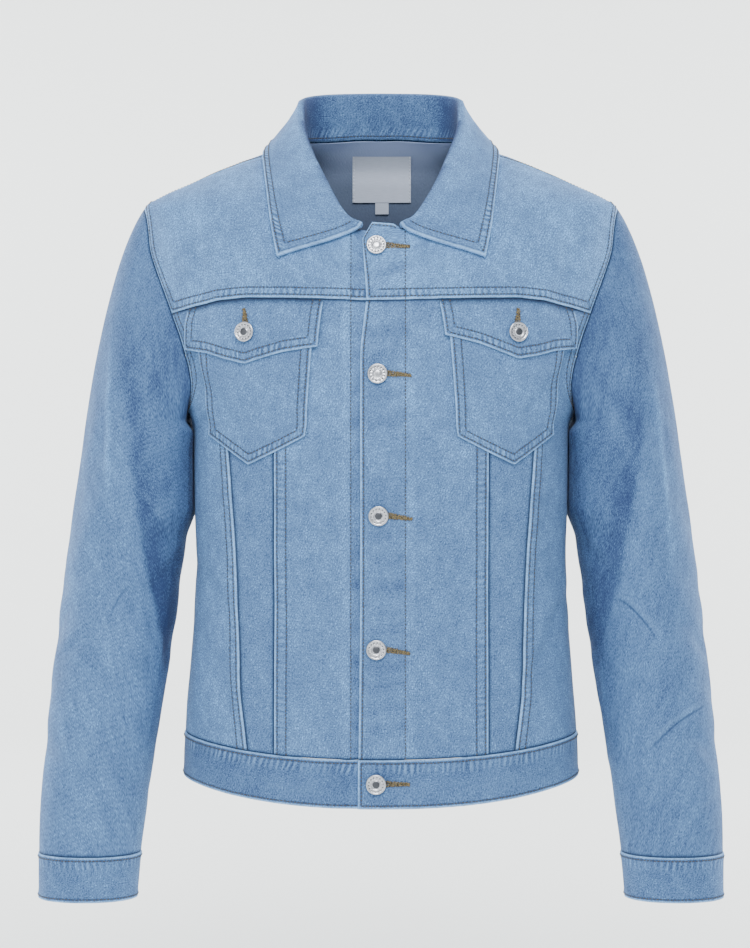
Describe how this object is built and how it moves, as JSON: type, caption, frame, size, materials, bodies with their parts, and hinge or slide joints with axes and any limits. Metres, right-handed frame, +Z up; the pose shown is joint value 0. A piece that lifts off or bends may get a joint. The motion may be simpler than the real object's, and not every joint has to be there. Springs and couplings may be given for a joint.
{
  "type": "denim jacket",
  "caption": "Short denim trucker jacket in its worn shape, buttoned, with a folded collar, two flap chest pockets, long two-piece sleeves and a waistband.",
  "frame": {"origin": "midway between the shoulders, just under the side of the neck opening, where a wearer's shoulders carry the jacket", "axes": "+Z up, towards the neck opening; -Y the buttoned front; +X the jacket's own left side"},
  "size_m": [0.655, 0.2516, 0.7858],
  "materials": {
    "denim": "matt washed twill",
    "collar_denim": "matt washed twill",
    "satin": "smooth woven satin",
    "button_metal": "bright nickel"
  },
  "bodies": {
    "root": {"front_yoke_left": "denim", "front_yoke_right": "denim", "front_panel_left": "denim", "front_panel_right": "denim", "front_inset_left": "denim", "front_inset_right": "denim", "front_side_left": "denim", "front_side_right": "denim", "back_side_left": "denim", "back_side_right": "denim", "back_yoke": "denim", "back_panel": "denim", "waistband": "denim", "collar": "collar_denim", "sleeve_top_left": "denim", "sleeve_top_right": "denim", "sleeve_under_left": "denim", "sleeve_under_right": "denim", "cuff_left": "denim", "cuff_right": "denim", "pocket_left": "denim", "pocket_right": "denim", "flap_left": "denim", "flap_right": "denim", "button_front_1": "button_metal", "button_front_2": "button_metal", "button_front_3": "button_metal", "button_front_4": "button_metal", "button_front_5": "button_metal", "button_flap_left": "button_metal", "button_flap_right": "button_metal", "label": "satin", "size_tab": "satin"}
  },
  "joints": []
}
